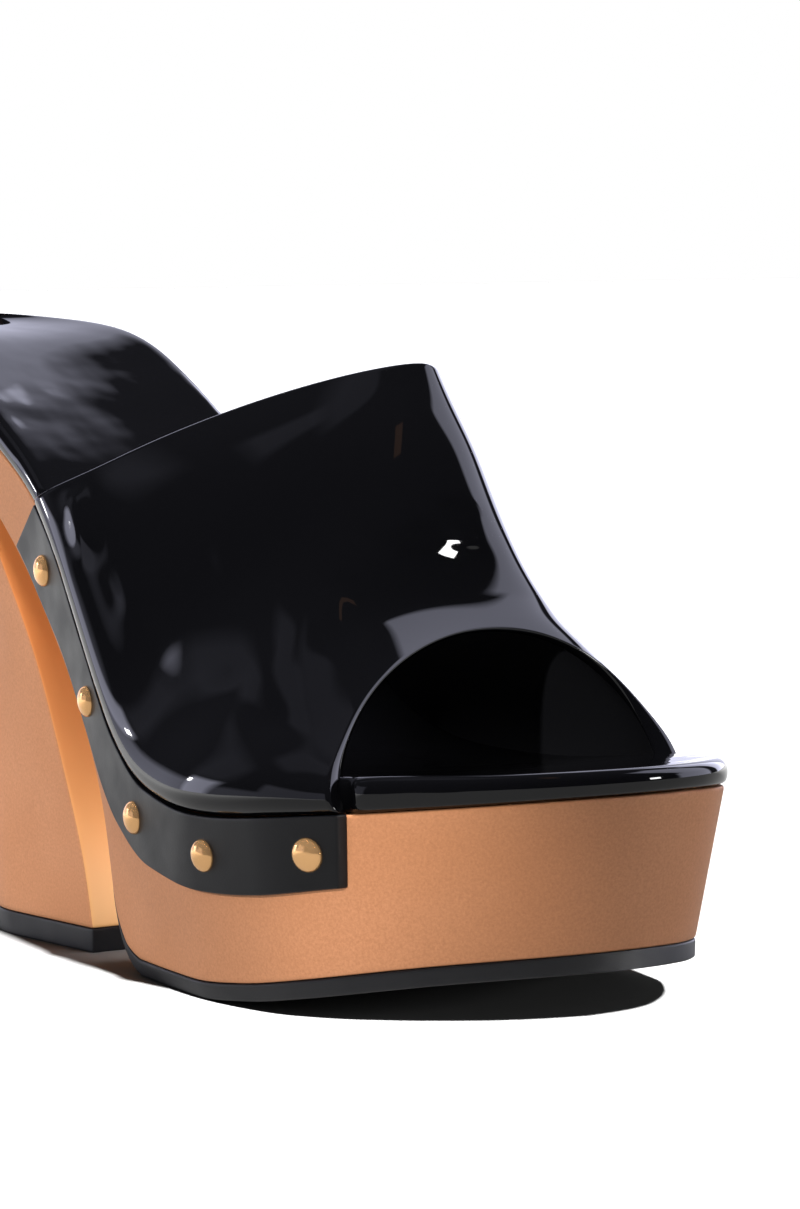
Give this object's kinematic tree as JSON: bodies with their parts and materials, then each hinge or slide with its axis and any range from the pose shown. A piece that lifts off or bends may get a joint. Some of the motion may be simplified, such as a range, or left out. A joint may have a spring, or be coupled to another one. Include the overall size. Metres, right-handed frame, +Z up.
{
  "type": "platform mule sandal",
  "caption": "Slip-on platform sandal with a block heel, a wide glossy open-toe band, a padded insole and studded side strips.",
  "frame": {"origin": "centre of the bounding box, on the floor", "axes": "+X towards the toe, +Y towards the wearer's left (the inner side of this right shoe), +Z up"},
  "size_m": [0.2232, 0.0963, 0.1236],
  "materials": {
    "wood_look": "matt tan wood-look coating with a fine speckle",
    "outsole_rubber": "matt black",
    "top_piece": "black, slightly glossy",
    "insole_patent": "high-gloss black patent",
    "upper_patent": "high-gloss black patent",
    "strip": "satin black",
    "stud": "polished pale gold"
  },
  "bodies": {
    "root": {"outsole": "outsole_rubber", "platform": "wood_look", "heel": "wood_look", "heel_top_piece": "top_piece", "insole": "insole_patent", "upper": "upper_patent", "rand_strip_outer": "strip", "rand_strip_inner": "strip", "stud_outer_1": "stud", "stud_outer_2": "stud", "stud_outer_3": "stud", "stud_outer_4": "stud", "stud_outer_5": "stud", "stud_inner_1": "stud", "stud_inner_2": "stud", "stud_inner_3": "stud", "stud_inner_4": "stud", "stud_inner_5": "stud"}
  },
  "joints": []
}
